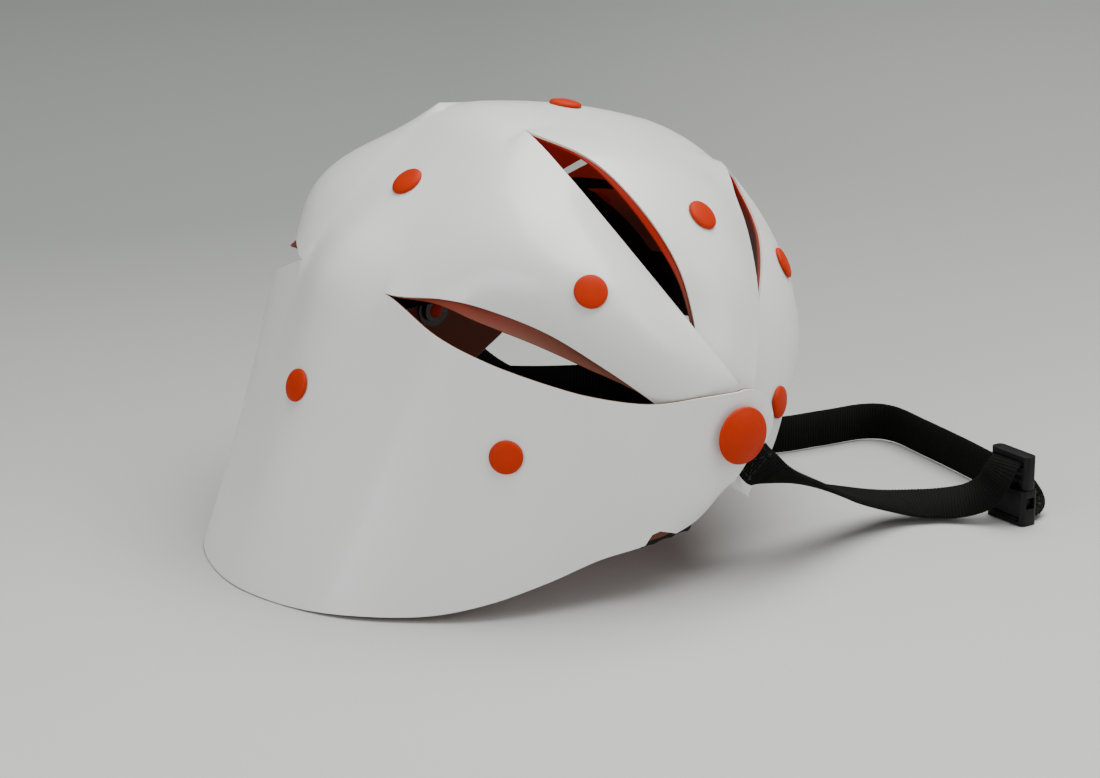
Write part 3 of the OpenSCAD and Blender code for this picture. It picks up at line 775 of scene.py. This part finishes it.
WEB_W, WEB_T = 15 * MM, 1.4 * MM
RIGHT_RUN = [[[-100.5, -6.6, -8.8], [0, 0.8, -0.6]], [[-100.9, -11.5, -15], [0.2, 0.75, -0.6]],
             [[-100, -20, -20.5], [0.75, 0.5, -0.4]], [[-94, -40, -29], [0.95, 0.3, -0.1]],
             [[-87, -64, -40], [0.95, 0.2, 0.2]], [[-84, -89, -49], [0.9, 0.1, 0.35]],
             [[-89, -105, -51.5], [0.85, -0.2, 0.42]], [[-97, -114.5, -50], [0.8, -0.35, 0.5]],
             [[-104, -119.5, -45], [0.9, -0.1, 0.4]], [[-107, -122, -38], [1, 0, 0.1]],
             [[-107, -126, -33.6], [1, 0, 0]], [[-107, -133, -33.6], [1, 0, 0]]]
LEFT_RUN = [[[100.5, -6.6, -8.8], [0, 0.8, -0.6]], [[100.2, -14, -18], [0.1, 0.7, -0.7]],
            [[90, -30, -34], [0.3, 0.4, -0.9]], [[62, -54, -47], [0, 0.1, -1]],
            [[30, -78, -49.4], [0, 0, -1]], [[6, -101, -49.4], [0, 0, -1]],
            [[0, -126, -49.4], [0, 0, -1]], [[-3, -145, -49.4], [0, 0, -1]],
            [[-12, -153, -49.4], [0, 0, -1]], [[-33, -151.5, -49.4], [0, 0, -1]],
            [[-62, -148, -49.4], [0, 0, -1]], [[-84, -144, -49.3], [0.15, 0, -1]],
            [[-97, -141, -50], [0.65, 0.35, -0.7]], [[-104, -139.5, -53.6], [0.9, 0.4, -0.2]],
            [[-107, -135, -54.9], [1, 0, 0]], [[-107, -125.5, -54.9], [1, 0, 0]]]


def route_frames(route, per_leg):
    """Places along a route in metres, each with its width's direction and its outward one."""
    points = np.array(route, float)
    last = len(points) - 1
    frames = []

    def at(t, part):
        i = min(int(t * last), last - 1)
        a, d = points[max(i - 1, 0)][part], points[min(i + 2, last)][part]
        return spline(a, points[i][part], points[i + 1][part], d, t * last - i)

    for t in np.linspace(0, 1, last * per_leg + 1):
        go = at(min(t + 0.004, 1), 0) - at(max(t - 0.004, 0), 0)
        go = go / np.linalg.norm(go)
        across = at(t, 1)
        across = across - go * go.dot(across)
        across = across / np.linalg.norm(across)
        frames.append((at(t, 0) * MM + (0, 0, EAR_HEIGHT), across, np.cross(go, across)))
    return frames


def ribbon(bm, frames, width, thickness):
    """A flat strip with rounded selvedges swept through the frames."""
    w, t = width / 2, thickness / 2
    section = [(-w + t, -t), (w - t, -t), (w - 0.25 * t, -0.6 * t), (w, 0), (w - 0.25 * t, 0.6 * t),
               (w - t, t), (-w + t, t), (-w + 0.25 * t, 0.6 * t), (-w, 0), (-w + 0.25 * t, -0.6 * t)]
    rings = [[bm.verts.new(p + a * x + o * y) for x, y in section] for p, a, o in frames]
    n = len(section)
    for a, b in zip(rings, rings[1:]):
        for k in range(n):
            bm.faces.new((a[k], a[(k + 1) % n], b[(k + 1) % n], b[k]))
    if np.linalg.norm(frames[0][0] - frames[-1][0]) < 1e-6:
        bmesh.ops.remove_doubles(bm, verts=bm.verts, dist=1e-6)
    else:
        bm.faces.new(rings[0])
        bm.faces.new(rings[-1][::-1])
    bmesh.ops.recalc_face_normals(bm, faces=bm.faces)


def stitches(frames, share_from, share_to, half_width, lift):
    """Paths of a box stitch with a cross in it, over part of a strap."""
    count = len(frames)
    part = frames[int(share_from * (count - 1)):int(share_to * (count - 1)) + 1]
    paths = []
    for face in (1, -1):
        left = [p - a * half_width + o * lift * face for p, a, o in part]
        right = [p + a * half_width + o * lift * face for p, a, o in part]
        cross = [p + a * half_width * (2 * k / (len(part) - 1) - 1) + o * lift * face
                 for k, (p, a, o) in enumerate(part)]
        back = [p - a * half_width * (2 * k / (len(part) - 1) - 1) + o * lift * face
                for k, (p, a, o) in enumerate(part)]
        outs = [o for _, _, o in part]
        for path in (left, right, cross, back):
            paths.append((path, outs))
        for end in (0, -1):
            p, a, o = part[end]
            bar = [p + a * x + o * lift * face for x in np.linspace(-half_width, half_width, 4)]
            paths.append((bar, [o] * 4))
    return paths


def merged(name, meshes):
    """Several plain meshes as one, each face keeping its material."""
    materials = list(dict.fromkeys(m for mesh in meshes for m in mesh.materials))
    bm = bmesh.new()
    for mesh in meshes:
        first = len(bm.faces)
        own = [materials.index(m) for m in mesh.materials]
        bm.from_mesh(mesh)
        bm.faces.ensure_lookup_table()
        for face in bm.faces[first:]:
            face.material_index = own[face.material_index] if own else 0
    return mesh_of(bm, name, *materials)


def strap_mesh(name, frames, width, thickness, sewn=()):
    """Ribbed webbing: a thin core, its cross ribs, and box stitches at the sewn places."""
    bm = bmesh.new()
    ribbon(bm, frames, width, thickness * 0.8)
    parts = [mesh_of(bm, name + "_core", WEBBING)]
    places, acrosses, outs = zip(*frames)
    ribs = BARS.made(name + "_ribs", points_mesh(name, places, across=acrosses, out=outs),
                     pitch=1.15 * MM, length=width - 0.5 * MM, depth=1.0 * MM,
                     height=thickness * 1.12, material=WEBBING)
    parts.append(ribs)
    for first, last in sewn:
        for path, path_outs in stitches(frames, first, last, width * 0.36, thickness * 0.56):
            goes = np.gradient(np.array(path), axis=0)
            parts.append(BARS.made(name + "_thread", points_mesh(name, path, across=goes, out=path_outs),
                                   pitch=2.6 * MM, length=2.0 * MM, depth=0.45 * MM,
                                   height=0.3 * MM, material=THREAD))
    return merged(name, parts)


def make_chin_strap():
    right, left = route_frames(RIGHT_RUN, 14), route_frames(LEFT_RUN, 14)
    low, high = right[int(0.62 * len(right))][0], right[int(0.86 * len(right))][0]
    keep_piece("chin_webbing_right",
               strap_mesh("chin_webbing_right", right, WEB_W, WEB_T, [(0.01, 0.09)]),
               "chin_strap", "webbing", "strap_right", bends=("plug", low, high))
    keep_piece("chin_webbing_left",
               strap_mesh("chin_webbing_left", left, WEB_W, WEB_T, [(0.01, 0.06), (0.84, 0.9)]),
               "chin_strap", "webbing", "strap_left")


make_chin_strap()

BAND_HALF, BAND_LONG, BAND_BACK = 80 * MM, 84 * MM, 10 * MM
BAND_LOW, BAND_W, BAND_T = 6 * MM, 20 * MM, 1.6 * MM


def oval_frames(steps):
    frames = []
    for k in range(steps + 1):
        a = 2 * math.pi * k / steps
        place = np.array([BAND_HALF * math.sin(a), BAND_BACK - BAND_LONG * math.cos(a),
                          BAND_LOW + BAND_W / 2 + EAR_HEIGHT])
        out = np.array([math.sin(a) / BAND_HALF, -math.cos(a) / BAND_LONG, 0])
        frames.append((place, np.array([0, 0, 1.0]), out / np.linalg.norm(out)))
    return frames


def arch_frames(half, rise, along, steps=72):
    inset = BAND_T / 2 + 0.4 * MM + WEB_T / 2
    frames = []
    for k in range(steps + 1):
        a = math.pi * k / steps
        x = (half - inset) * math.cos(a)
        z = BAND_LOW + BAND_W / 2 + (rise - BAND_LOW) * math.sin(a) + EAR_HEIGHT
        place = np.array([0, BAND_BACK + x, z] if along else [x, BAND_BACK, z])
        slope = np.array([0, -math.sin(a) * half, math.cos(a) * rise] if along
                         else [-math.sin(a) * half, 0, math.cos(a) * rise])
        across = np.array([1.0, 0, 0] if along else [0, 1.0, 0])
        out = np.cross(slope, across)
        frames.append((place, across, out / np.linalg.norm(out)))
    return frames


def make_cradle():
    band = oval_frames(180)
    keep_piece("cradle_band", strap_mesh("cradle_band", band, BAND_W, BAND_T),
               "shell", "webbing", "head_band")
    long_arch, cross_arch = arch_frames(BAND_LONG, 60 * MM, True), arch_frames(BAND_HALF, 62 * MM, False)
    sewn = [(0.01, 0.08), (0.92, 0.99)]
    keep_piece("cradle_arch_long", strap_mesh("cradle_arch_long", long_arch, WEB_W, WEB_T, sewn),
               "shell", "webbing", "crown_strap_long")
    keep_piece("cradle_arch_cross", strap_mesh("cradle_arch_cross", cross_arch, WEB_W, WEB_T, sewn),
               "shell", "webbing", "crown_strap_cross")


make_cradle()

# ---------------------------------------------------------------- buckle


def softened(name, node, width, body, material_slot, material):
    """The node's own shape with its hard edges rounded."""
    bm = bmesh.new()
    bm.from_mesh(NODES[node].data)
    bmesh.ops.remove_doubles(bm, verts=bm.verts, dist=2e-6)
    bmesh.ops.dissolve_limit(bm, angle_limit=math.radians(1.5), verts=bm.verts, edges=bm.edges)
    base = bpy.data.objects.new(name, mesh_of(bm, name, material))
    bpy.context.scene.collection.objects.link(base)
    rounding = base.modifiers.new("rounding", "BEVEL")
    rounding.width, rounding.segments, rounding.limit_method = width, 3, "ANGLE"
    rounding.angle_limit = math.radians(40)
    rounding.harden_normals = True
    bpy.context.view_layer.update()
    mesh = bpy.data.meshes.new_from_object(base.evaluated_get(bpy.context.evaluated_depsgraph_get()))
    bpy.data.objects.remove(base)
    return keep_piece(name, mesh, body, material_slot, node)


softened("socket_shell", "buckle_socket", 0.55 * MM, "chin_strap", "buckle_plastic", ACETAL)
softened("plug_frame", "buckle_plug", 0.35 * MM, "plug", "buckle_plastic", ACETAL)
softened("prong_right", "buckle_prong_right", 0.25 * MM, "prong_right", "buckle_plastic", ACETAL)
softened("prong_left", "buckle_prong_left", 0.25 * MM, "prong_left", "buckle_plastic", ACETAL)

# ---------------------------------------------------------------- pads


def plump(name, node, body, shrink, voxel, cap):
    """A pad swollen a little by the foam inside it, from its plain block."""
    bm = bmesh.new()
    bm.from_mesh(NODES[node].data)
    bmesh.ops.remove_doubles(bm, verts=bm.verts, dist=2e-6)
    for v in bm.verts:
        v.normal_update()
    moved = [v.co - v.normal * shrink for v in bm.verts]
    for v, place in zip(bm.verts, moved):
        v.co = place
    pad = bpy.data.objects.new(name, mesh_of(bm, name, KNIT))
    bpy.context.scene.collection.objects.link(pad)
    remesh = pad.modifiers.new("even", "REMESH")
    remesh.mode, remesh.voxel_size = "VOXEL", voxel
    mesh = applied(pad)
    start = np.array([v.co for v in mesh.vertices])
    cloth = pad.modifiers.new("cover", "CLOTH")
    cloth.settings.use_pressure = True
    cloth.settings.uniform_pressure_force = 4
    cloth.settings.quality = 4
    cloth.settings.effector_weights.gravity = 0
    cloth.point_cache.frame_start, cloth.point_cache.frame_end = 1, 20
    scene = bpy.context.scene
    for step in range(1, 21):
        scene.frame_set(step)
        bpy.context.view_layer.update()
    mesh = applied(pad)
    scene.frame_set(1)
    end = np.array([v.co for v in mesh.vertices])
    shift = end - start
    reach = np.linalg.norm(shift, axis=1, keepdims=True)
    end = start + shift * np.minimum(1, cap / np.maximum(reach, 1e-9))
    mesh.vertices.foreach_set("co", end.ravel())
    even = pad.modifiers.new("finer", "SUBSURF")
    even.levels = even.render_levels = 1
    applied(pad)
    pad.data.materials.clear()
    pad.data.materials.append(KNIT)
    pad.data.polygons.foreach_set("use_smooth", [True] * len(pad.data.polygons))
    keep_piece(name, pad, body, "pad_fabric", node)


def applied(piece):
    """Makes the piece's modifiers real and drops them."""
    bpy.context.view_layer.update()
    mesh = bpy.data.meshes.new_from_object(piece.evaluated_get(bpy.context.evaluated_depsgraph_get()))
    piece.modifiers.clear()
    piece.data = mesh
    return mesh


PAD_SHRINK, PAD_SWELL = 1.0 * MM, 1.2 * MM
for pad_name, pad_node, pad_voxel in (
        ("pad_brow", "brow_pad", 2.0 * MM), ("pad_nape", "nape_pad", 2.0 * MM),
        ("pad_crown", "crown_pad", 2.0 * MM), ("pad_ear_right", "ear_pad_right", 1.5 * MM),
        ("pad_ear_left", "ear_pad_left", 1.5 * MM)):
    plump(pad_name, pad_node, "shell", PAD_SHRINK, pad_voxel, PAD_SWELL)

# ---------------------------------------------------------------- finishes on the kept nodes

for side in ("right", "left"):
    for node, material in ((f"ear_grommet_{side}", STEEL), (f"ear_clip_{side}", STEEL),
                           (f"strap_anchor_{side}", WEBBING)):
        NODES[node].data.materials.clear()
        NODES[node].data.materials.append(material)
